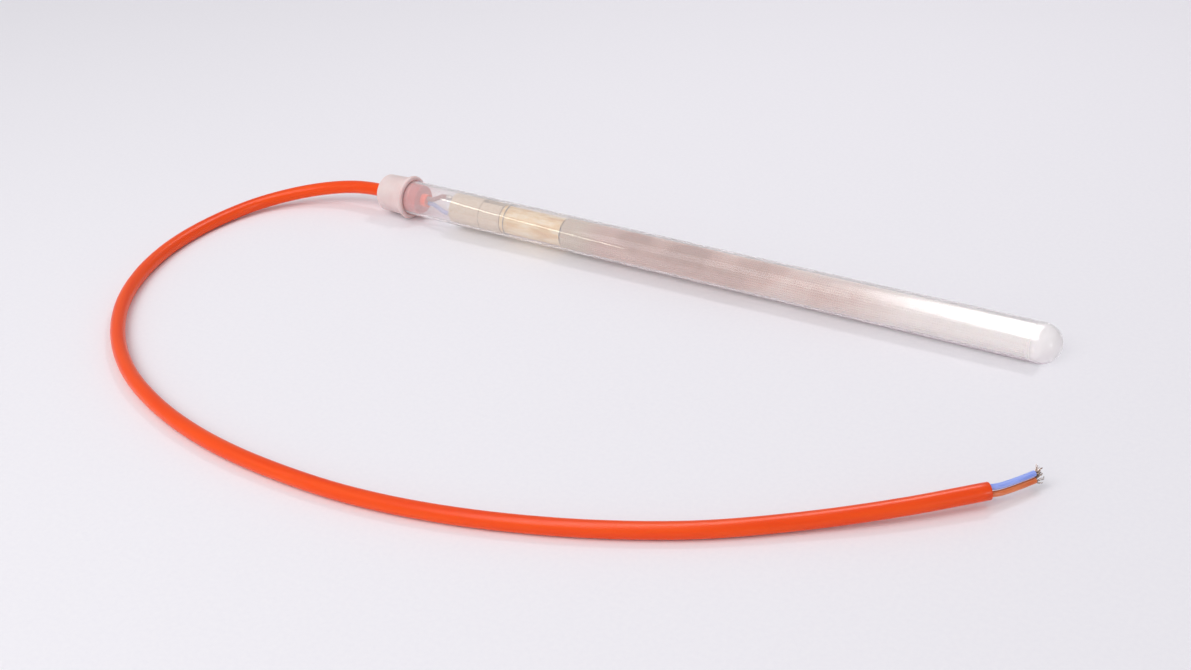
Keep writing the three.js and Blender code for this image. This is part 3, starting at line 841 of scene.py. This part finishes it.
class HEATER_OT_cord(bpy.types.Operator):
    """Make the mains cord, its bare cores and their strands"""

    bl_idname = "heater.cord"
    bl_label = "Cord"

    def execute(self, context):
        settings = context.scene.heater_cord
        path = cord_path()
        points, sizes = cut_sheath(path, settings.diameter / 2)
        sheath = piece(
            "power_cord_sheath", swept(points, sizes, 40), extruded_orange_silicone(),
            "power_cord", "silicone_sheath", in_heater=False,
        )
        end = path[-1]
        heading = (end - path[-2]).normalized()
        blue = extruded_pvc("pvc_blue_extruded", "#7f98f4", "#adc0ff")
        brown = extruded_pvc("pvc_brown_extruded", "#d9622a", "#f08a50")
        # The strands' dark browns are partly the copper's own tone and partly painted shade within the
        # tangled tuft.
        tin = drawn_metal("copper_strand_tinned_painted_shade", "#5e4a42", "#b9a394", 0.35, 4000)
        tree = frayed_strands_tree(tin)
        for side, label, finish, slot, seed in (
            (1, "neutral", blue, "blue_insulation", 5), (-1, "live", brown, "brown_insulation", 11)
        ):
            line = core_path(side, settings, end, heading)
            points, sizes = rounded_ends(line, settings.core / 2, 0.25 * MM)
            insulation = swept(points, sizes, 24)
            piece(label + "_core_insulation", insulation, finish, label + "_core", slot, False)
            ahead = (line[-1] - line[-2]).normalized()
            strands = grown(tree, {
                "Count": settings.strand_count, "Length": settings.strand, "Spread": 0.48,
                "Bundle radius": settings.core * 0.34, "Strand radius": 0.13 * MM,
                "Bend": 4.0 * MM, "Seed": seed,
            })
            turn = ahead.to_track_quat("X", "Z").to_matrix().to_4x4()
            strands.transform(Matrix.Translation(line[-1] - ahead * STRAND_TUCK) @ turn)
            piece(label + "_strand_wires", strands, tin, label + "_strands", "tinned_copper", False)
        return {"FINISHED"}


# ---- Tube and cap ---------------------------------------------------------------------


def cord_hole():
    """The radius of the hole through the cap, the bung and the stop ring."""
    return bpy.context.scene.heater_cord.diameter / 2 + 0.05 * MM


class HEATER_OT_glass_tube(bpy.types.Operator):
    """Make the glass tube with its blown dome"""

    bl_idname = "heater.glass_tube"
    bl_label = "Glass tube"

    def execute(self, context):
        start, end, radius = heater_span("glass_tube")
        bore = radius - context.scene.heater_tube.wall
        centre = end - radius
        edge = (radius - bore) * 0.3
        profile = [(centre + bore, 0.0)]
        profile += arc((centre, 0), bore, 0, 90, 28)[1:]
        # Rings close to both ends of the straight part keep its shading straight.
        middle = [centre - 1 * MM, (start + centre) / 2, start + 2 * MM]
        profile += [(along, bore) for along in middle]
        profile += arc((start + edge, bore + edge), edge, 270, 180, 4)
        profile += arc((start + edge, radius - edge), edge, 180, 90, 4)
        profile += [(along, radius) for along in reversed(middle)]
        profile += arc((centre, 0), radius, 90, 0, 32)[:-1]
        profile += [(end, 0.0)]
        glass = drawn_borosilicate_glass()
        tube = turned_piece(
            "glass_tube_drawn", profile, glass, "glass_tube", "borosilicate_glass", closed=False, sharp=60
        )
        # Light reaches what is inside straight through the glass, which throws no shadow.
        tube.visible_shadow = False
        tube.visible_diffuse = False
        return {"FINISHED"}


class HEATER_OT_end_cap(bpy.types.Operator):
    """Make the silicone end cap with its rolled lip"""

    bl_idname = "heater.end_cap"
    bl_label = "End cap"

    def execute(self, context):
        settings = context.scene.heater_tube
        start, end, lip_radius = heater_span("end_cap")
        hole, hole_edge = cord_hole(), 0.35 * MM
        socket, mouth_edge = heater_span("glass_tube")[2] + 0.02 * MM, 0.4 * MM
        body = lip_radius - settings.lip_height
        far, rounding = body - settings.cap_taper, settings.cap_round
        lip, lip_start = settings.lip_width / 2, end - settings.lip_width
        fillet, lip_edge = 0.5 * MM, 0.5 * MM
        taper = [(start + 6 * MM, far + 0.1 * MM), (lip_start - 3 * MM, body - 0.05 * MM)]
        profile = [(start + 0.5 * MM, hole)]
        profile += arc((start + hole_edge, hole + hole_edge), hole_edge, 270, 180, 3)
        profile += arc((start + rounding, far - rounding), rounding, 180, 90, 10) + taper
        profile += arc((lip_start - fillet, body + fillet), fillet, 270, 350, 5)
        profile += arc((end - lip, lip_radius - lip), lip, 160, 20, 12)
        profile += arc((end - lip_edge, lip_radius - lip - 0.2 * MM), lip_edge, 30, 0, 3)
        profile += [(end, socket + 0.5 * MM)]
        profile += arc((end - mouth_edge, socket + mouth_edge), mouth_edge, 0, -90, 4)
        inner = start + settings.cap_end_wall
        profile += [(inner, socket), (inner, hole)]
        pale = moulded_translucent_silicone("silicone_cap_moulded", "#e0c8c6", "#ebd8d5", 0.0)
        turned_piece("end_cap_moulded", profile, pale, "end_cap", "silicone_cap", sharp=60)
        return {"FINISHED"}


class HEATER_OT_seals(bpy.types.Operator):
    """Make the bung in the tube's mouth and the ring that stops the cord"""

    bl_idname = "heater.seals"
    bl_label = "Bung and stop ring"

    def execute(self, context):
        hole = cord_hole()
        start, end, radius = heater_span("sealing_bung")
        ribs = 4
        pitch = (end - start) / ribs
        groove = 0.25 * MM
        profile = [(start, hole), (start, radius - 2 * groove), (start + 2 * groove, radius)]
        for i in range(1, ribs):
            middle = start + pitch * i
            profile += arc((middle, radius + groove), 1.5 * groove, 222, 318, 6)
        profile += [(end - 2 * groove, radius), (end, radius - 2 * groove), (end, hole)]
        red = moulded_translucent_silicone("silicone_bung_moulded", "#c8322a", "#de5a52", 0.25)
        turned_piece("sealing_bung_ribbed", profile, red, "sealing_bung", "silicone_bung", sides=72)
        start, end, radius = heater_span("cord_stop_ring")
        edge = 0.3 * MM
        profile = [(start + edge, hole), (end - edge, hole), (end, hole + edge)]
        profile += arc((end - edge, radius - edge), edge, 0, 90, 4)
        profile += arc((start + edge, radius - edge), edge, 90, 180, 4)
        profile += [(start, hole + edge)]
        brass = drawn_metal("brass_stamped", "#b8923f", "#d8b96a", 0.32)
        turned_piece("cord_stop_ring_crimped", profile, brass, "cord_stop_ring", "brass", sides=72)
        return {"FINISHED"}


# ---- Leads and insulators -------------------------------------------------------------


def straight_path(start, end, z=0.0, steps=12):
    """Evenly spaced points along the heater's axis, at a height z from it."""
    return [Vector((start + (end - start) * i / steps, 0, z)) for i in range(steps + 1)]


class HEATER_OT_leads(bpy.types.Operator):
    """Make the sheath's tail, the two inner leads and their crimps"""

    bl_idname = "heater.leads"
    bl_label = "Leads and crimps"

    def execute(self, context):
        settings = context.scene.heater_cord
        start, end, _ = heater_span("sheath_inside")
        tuck = 0.1 * MM
        tail = straight_path(start - tuck, end)
        points, sizes = rounded_ends(tail, settings.diameter / 2, 0.5 * MM)
        orange = extruded_orange_silicone()
        piece("sheath_tail", swept(points, sizes, 40), orange, "sheath_inside", "silicone_sheath")
        tin = drawn_metal("copper_crimp_tinned", "#a49c96", "#cfc9c3", 0.3)
        # The inner leads' colours are painted shade: duller, darker copies of the cores' brown and blue,
        # for the shade inside the tube.
        leads = (
            (1, "live", extruded_pvc("pvc_brown_lead_painted_shade", "#8a5a58", "#a5706a"), "brown_insulation"),
            (-1, "neutral", extruded_pvc("pvc_blue_lead_painted_shade", "#7d80ae", "#9c9fc4"), "blue_insulation"),
        )
        pinch_depth, pinch_reach = 0.28 * MM, 0.9 * MM
        for side, label, finish, slot in leads:
            low, high = heater_box(label + "_crimp")
            near, far = low[0], high[0]
            height = (low[2] + high[2]) / 2
            stacked = side * settings.core_pitch / 2
            run = near - end
            route = (
                (end + tuck, 0, stacked), (end + run * 0.2, 0, stacked),
                (end + run * 0.8, 0, height), (near - tuck, 0, height),
            )
            points, sizes = rounded_ends(smooth_path(route, 0.6 * MM), settings.core / 2, 0.2 * MM)
            lead = swept(points, sizes, 24)
            piece(label + "_lead_insulation", lead, finish, label + "_lead", slot)
            barrel = straight_path(near, far, height, 40)
            points, sizes = rounded_ends(barrel, (high[1] - low[1]) / 2, 0.3 * MM)
            middles = [near + share * (far - near) for share in (0.28, 0.72)]
            squeezed = [
                size - pinch_depth * max(math.exp(-(((p.x - m) / pinch_reach) ** 2)) for m in middles)
                for p, size in zip(points, sizes)
            ]
            sleeve = swept(points, squeezed, 28)
            piece(label + "_crimp_sleeve", sleeve, tin, label + "_crimp", "tinned_copper")
        return {"FINISHED"}


def slug_outline(size, groove, sides):
    """Points round a slug. groove is (half width, floor height) of an open slot on top."""
    half, floor = groove or (0, 0)
    corner = math.asin(half / size)
    count = sides + 1 if groove else sides
    turns = [corner + (2 * math.pi - 2 * corner) * i / sides for i in range(count)]
    points = [(size * math.sin(t), size * math.cos(t)) for t in turns]
    if groove:
        bend = [math.pi * i / 12 for i in range(13)]
        points += [(-half * math.cos(a), floor + half - half * math.sin(a)) for a in bend]
    return points


def closed_edges(build, loop):
    """The edges round a loop of vertices, made where they are missing."""
    pairs = zip(loop, loop[1:] + loop[:1])
    return [build.edges.get(pair) or build.edges.new(pair) for pair in pairs]


def bridge(build, near, far):
    """Faces between two loops of as many vertices."""
    for j in range(len(near)):
        k = (j + 1) % len(near)
        build.faces.new((near[j], near[k], far[k], far[j]))


def drilled_slug(start, end, radius, holes, groove=None, sides=128):
    """A round slug with chamfered ends and round holes, made of stacked outlines.

    holes is a list of (height, radius).
    """
    build = bmesh.new()
    chamfer = 0.25 * MM
    levels = (
        (start, radius - chamfer), (start + chamfer, radius),
        (end - chamfer, radius), (end, radius - chamfer),
    )
    outlines = [(x, slug_outline(size, groove, sides)) for x, size in levels]
    rings = [[build.verts.new((x, y, z)) for y, z in outline] for x, outline in outlines]
    for near, far in zip(rings, rings[1:]):
        bridge(build, near, far)
    turns = full_turn(32)[:-1]
    bores = []
    for ring, x in ((rings[0], start), (rings[-1], end)):
        loops = [
            [build.verts.new((x, size * math.cos(a), z + size * math.sin(a))) for a in turns]
            for z, size in holes
        ]
        edges = [edge for loop in (ring, *loops) for edge in closed_edges(build, loop)]
        bmesh.ops.triangle_fill(build, edges=edges, use_beauty=True)
        bores.append(loops)
    for near, far in zip(*bores):
        bridge(build, near, far)
    return finished_mesh(build)


class HEATER_OT_insulators(bpy.types.Operator):
    """Make the two ceramic insulators"""

    bl_idname = "heater.insulators"
    bl_label = "Insulators"

    def execute(self, context):
        beige = fired_ceramic("cordierite_extruded", "#b8a186", "#c6b095", "#d3c0a8")
        low, high = heater_box("live_crimp")
        height = (low[2] + high[2]) / 2
        crimp_clearance, wire_hole = 0.35 * MM, 0.85 * MM
        hole = (high[1] - low[1]) / 2 + crimp_clearance
        upper = drilled_slug(*heater_span("upper_insulator"), [(height, hole), (-height, hole)])
        piece("upper_insulator_slug", upper, beige, "upper_insulator", "cordierite")
        groove = (hole, height - hole)
        lower = drilled_slug(*heater_span("lower_insulator"), [(-height, wire_hole)], groove)
        piece("lower_insulator_slug", lower, beige, "lower_insulator", "cordierite")
        return {"FINISHED"}


# ---- Taped section --------------------------------------------------------------------


class HEATER_OT_taped_section(bpy.types.Operator):
    """Make the lapped tape and the wire that binds its start"""

    bl_idname = "heater.taped_section"
    bl_label = "Tape"

    def execute(self, context):
        start, end, radius = heater_span("tape_wrap")
        thickness, skin = 0.35 * MM, 0.02 * MM
        fold_height, lap_step = 0.07 * MM, 0.16 * MM
        steps = 90
        lap = 12.5 * MM

        def crease(along, angle):
            where = Vector((along * 90, math.cos(angle) * 3.2, math.sin(angle) * 3.2))
            fold = noise.noise(where) * fold_height
            turns = (along / lap - angle / (2 * math.pi)) % 1.0
            return fold - lap_step * turns - skin

        outer = [(start + (end - start) * i / steps, radius - skin) for i in range(steps + 1)]
        inner = [(end, radius - thickness), (start, radius - thickness)]
        turned_piece(
            "tape_wrap_lapped", outer + inner, lapped_polyimide_film(), "tape_wrap", "polyimide_tape",
            wobble=crease, sharp=30,
        )
        low, high, outer_radius = heater_span("binding_wire")
        wire = (high - low) / 2
        section = arc(((low + high) / 2, outer_radius - wire), wire, 180, -165, 23)
        blued = drawn_metal("steel_wire_blued", "#3f4c58", "#6a7a88", 0.3)
        turned_piece("binding_wire_turn", section, blued, "binding_wire", "steel_wire")
        return {"FINISHED"}


# ---- Heating element ------------------------------------------------------------------


WEAVE_SIZES = {
    "Rows": 10, "Length": 100 * MM, "Radius": 7.5 * MM, "Wave": 0.1 * MM, "Warps": 36,
    "Yarn_radius": 0.3 * MM,
}


def weave_wave(node, maths, given):
    """How far a yarn stands out at each of its points as it passes over and under."""
    phase = maths("MULTIPLY", node("GeometryNodeInputIndex"), math.pi / 2)
    return maths("MULTIPLY", maths("COSINE", phase), given["Wave"])


def weft_tree(material):
    """Rings of yarn round the sleeve that pass over and under the warp, turn about."""
    tree, given, out = growing_tree("Sleeve weft", **WEAVE_SIZES)
    node, maths = node_makers(tree)
    sides = maths("MULTIPLY", given["Warps"], 2)
    circle = node("GeometryNodeCurvePrimitiveCircle", {"Resolution": sides, "Radius": 1.0})
    size = maths("ADD", given["Radius"], weave_wave(node, maths, given))
    inputs = {0: node("GeometryNodeInputPosition"), "Scale": size}
    scaled = node("ShaderNodeVectorMath", inputs, {"operation": "SCALE"})
    ring = node("GeometryNodeSetPosition", {"Geometry": circle, "Position": scaled})
    yarn = thickened(node, ring, given["Yarn radius"], 4)
    stand = node("GeometryNodeTransform", {"Geometry": yarn, "Rotation": (0, math.pi / 2, 0)})
    gap = maths("DIVIDE", given["Length"], maths("SUBTRACT", given["Rows"], 1))
    step = node("ShaderNodeCombineXYZ", {"X": gap})
    rows = node("GeometryNodeMeshLine", {"Count": given["Rows"], "Offset": step}, {"mode": "OFFSET"})
    odd = maths("MODULO", node("GeometryNodeInputIndex"), 2)
    shift = maths("MULTIPLY", odd, maths("DIVIDE", 2 * math.pi, given["Warps"]))
    turn = node("ShaderNodeCombineXYZ", {"X": shift})
    placed = node("GeometryNodeInstanceOnPoints", {"Points": rows, "Instance": stand, "Rotation": turn})
    return finish_growth(tree, out, placed, material)


def warp_tree(material):
    """Yarns along the sleeve that pass over and under the rings, turn about."""
    tree, given, out = growing_tree("Sleeve warp", **WEAVE_SIZES)
    node, maths = node_makers(tree)
    tip = node("ShaderNodeCombineXYZ", {"X": given["Length"]})
    line = node("GeometryNodeCurvePrimitiveLine", {"End": tip})
    count = maths("SUBTRACT", maths("MULTIPLY", given["Rows"], 2), 1)
    fine = node("GeometryNodeResampleCurve", {"Curve": line, "Count": count})
    height = maths("SUBTRACT", given["Radius"], weave_wave(node, maths, given))
    offset = node("ShaderNodeCombineXYZ", {"Y": height})
    waved = node("GeometryNodeSetPosition", {"Geometry": fine, "Offset": offset})
    yarn = thickened(node, waved, given["Yarn radius"], 4)
    points = node("GeometryNodePoints", {"Count": given["Warps"]})
    step = maths("DIVIDE", 2 * math.pi, given["Warps"])
    turn = node("ShaderNodeCombineXYZ", {"X": maths("MULTIPLY", node("GeometryNodeInputIndex"), step)})
    placed = node("GeometryNodeInstanceOnPoints", {"Points": points, "Instance": yarn, "Rotation": turn})
    return finish_growth(tree, out, placed, material)


class HEATER_OT_sleeve(bpy.types.Operator):
    """Make the woven glass-fibre sleeve and the pad that closes it"""

    bl_idname = "heater.sleeve"
    bl_label = "Fibre sleeve"

    def execute(self, context):
        settings = context.scene.heater_element
        start, end, radius = heater_span("fibre_sleeve")
        yarn = settings.yarn / 2
        layer = radius - yarn * 1.5
        rows = round((end - start) / settings.weave_pitch)
        warps = 2 * round(2 * math.pi * layer / settings.weave_pitch / 2)
        liner = woven_glass_fibre("glass_fibre_liner", "#efe6e2", "#b98674", "#86503a")
        lining = radius - yarn * 2.2
        inside = lining - 0.3 * MM
        profile = [(start, inside), (start, lining), (end, lining), (end, inside)]
        turned_piece("fibre_sleeve_liner", profile, liner, "fibre_sleeve", "glass_fibre", sides=96)
        yarns = woven_glass_fibre("glass_fibre_yarn_woven", "#fcf5f3", "#d3a999", "#a56a4f")
        values = {
            "Rows": rows, "Length": end - start - 2 * yarn, "Radius": layer, "Wave": yarn * 0.45,
            "Warps": warps, "Yarn radius": yarn,
        }
        for label, tree in (("weft", weft_tree(yarns)), ("warp", warp_tree(yarns))):
            mesh = grown(tree, values)
            mesh.transform(Matrix.Translation((start + yarn, 0, 0)))
            piece("fibre_sleeve_" + label, mesh, yarns, slot="glass_fibre", sharp=180)

        start, end, radius = heater_span("end_pad")
        edge = 0.4 * MM
        profile = [(start, 0.0)] + arc((start + edge, radius - edge), edge, 180, 90, 4)
        profile += arc((end - edge, radius - edge), edge, 90, 0, 4) + [(end, 0.0)]
        pad = woven_glass_fibre("glass_fibre_felt", "#f1eceb", "#e5dcd8", "#d3c3bb")
        turned_piece("end_pad_felted", profile, pad, "end_pad", "glass_fibre", sides=96, closed=False)
        return {"FINISHED"}


def coil_tree(material):
    """A close helix of resistance wire along X."""
    tree, given, out = growing_tree(
        "Heating coil", Turns=10.0, Length=100 * MM, Radius=5 * MM, Wire_radius=0.4 * MM
    )
    node, _ = node_makers(tree)
    spiral = node("GeometryNodeCurveSpiral", {
        "Resolution": 20, "Rotations": given["Turns"], "Start Radius": given["Radius"],
        "End Radius": given["Radius"], "Height": given["Length"],
    })
    wire = thickened(node, spiral, given["Wire radius"], 8, caps=True)
    laid = node("GeometryNodeTransform", {"Geometry": wire, "Rotation": (0, math.pi / 2, 0)})
    return finish_growth(tree, out, laid, material)


class HEATER_OT_element(bpy.types.Operator):
    """Make the heating coil on its ceramic former"""

    bl_idname = "heater.element"
    bl_label = "Heating element"

    def execute(self, context):
        settings = context.scene.heater_element
        start, end, radius = heater_span("coil_former")
        bore = 1.2 * MM
        flutes, flute_depth = 16, 0.12 * MM

        def fluting(_, angle):
            return -flute_depth * (0.5 + 0.5 * math.cos(flutes * angle))

        profile = [(start, bore), (start, radius), (end, radius), (end, bore)]
        steatite = fired_ceramic("steatite_extruded", "#ded6cb", "#ebe5dc", "#f4f0ea", 0.6)
        turned_piece("coil_former_extruded", profile, steatite, "coil_former", "steatite", wobble=fluting)

        oxide = drawn_metal("resistance_wire_oxidised", "#5d4b42", "#8a7567", 0.4)
        bare_end = 4 * MM
        length = end - start - 2 * bare_end
        wire = settings.coil_wire / 2
        mesh = grown(coil_tree(oxide), {
            "Turns": length / settings.coil_pitch, "Length": length,
            "Radius": radius + wire + 0.05 * MM, "Wire radius": wire,
        })
        mesh.transform(Matrix.Translation((start + bare_end, 0, 0)))
        piece("heating_coil_wound", mesh, oxide, "heating_coil", "resistance_wire", sharp=180)
        return {"FINISHED"}


# ---- Hidden pieces that keep their CAD shape ------------------------------------------


class HEATER_OT_hidden_pieces(bpy.types.Operator):
    """Give the pieces that keep their CAD shape their materials"""

    bl_idname = "heater.hidden_pieces"
    bl_label = "Hidden pieces"

    def execute(self, context):
        brass = drawn_metal("brass_strip_stamped", "#b8923f", "#d8b96a", 0.3)
        tin = drawn_metal("copper_wire_tinned", "#a49c96", "#cfc9c3", 0.3)
        silver = drawn_metal("silver_rivet_headed", "#cfcfcb", "#ecebe6", 0.18, 1500, (1, 1, 1))
        finishes = {
            "cutout_housing": moulded_phenolic(),
            "cutout_lid": moulded_phenolic(),
            "blade_post": brass,
            "fixed_arm": brass,
            "fixed_contact": silver,
            "moving_contact": silver,
            "bimetal_blade": drawn_metal("bimetal_strip_rolled", "#8f8a82", "#bdb7ae", 0.28),
            "mounting_disc": laminated_mica(),
            "live_link": tin,
            "return_wire": tin,
            "end_splice": tin,
        }
        for name, finish in finishes.items():
            node = frame["nodes"][name]
            node.data.materials.clear()
            node.data.materials.append(finish)
        return {"FINISHED"}


# ---- Panel and registration -----------------------------------------------------------

OPERATORS = (
    HEATER_OT_stage,
    HEATER_OT_cord,
    HEATER_OT_glass_tube,
    HEATER_OT_end_cap,
    HEATER_OT_seals,
    HEATER_OT_leads,
    HEATER_OT_insulators,
    HEATER_OT_taped_section,
    HEATER_OT_sleeve,
    HEATER_OT_element,
    HEATER_OT_hidden_pieces,
)


class HEATER_PT_pieces(bpy.types.Panel):
    """Lists the heater's pieces in the sidebar"""

    bl_label = "Aquarium heater"
    bl_idname = "HEATER_PT_pieces"
    bl_space_type = "VIEW_3D"
    bl_region_type = "UI"
    bl_category = "Heater"

    def draw(self, context):
        for operator in OPERATORS:
            self.layout.operator(operator.bl_idname)


SETTINGS = {
    "heater_stage": StageSettings,
    "heater_cord": CordSettings,
    "heater_tube": TubeSettings,
    "heater_element": ElementSettings,
}


def register():
    for group in SETTINGS.values():
        bpy.utils.register_class(group)
    for operator in OPERATORS:
        bpy.utils.register_class(operator)
    bpy.utils.register_class(HEATER_PT_pieces)
    for name, group in SETTINGS.items():
        setattr(bpy.types.Scene, name, bpy.props.PointerProperty(type=group))


def unregister():
    for name in SETTINGS:
        delattr(bpy.types.Scene, name)
    bpy.utils.unregister_class(HEATER_PT_pieces)
    for operator in OPERATORS:
        bpy.utils.unregister_class(operator)
    for group in SETTINGS.values():
        bpy.utils.unregister_class(group)


def main():
    register()
    for operator in OPERATORS:
        group, name = operator.bl_idname.split(".")
        getattr(getattr(bpy.ops, group), name)()


if __name__ == "__main__":
    main()
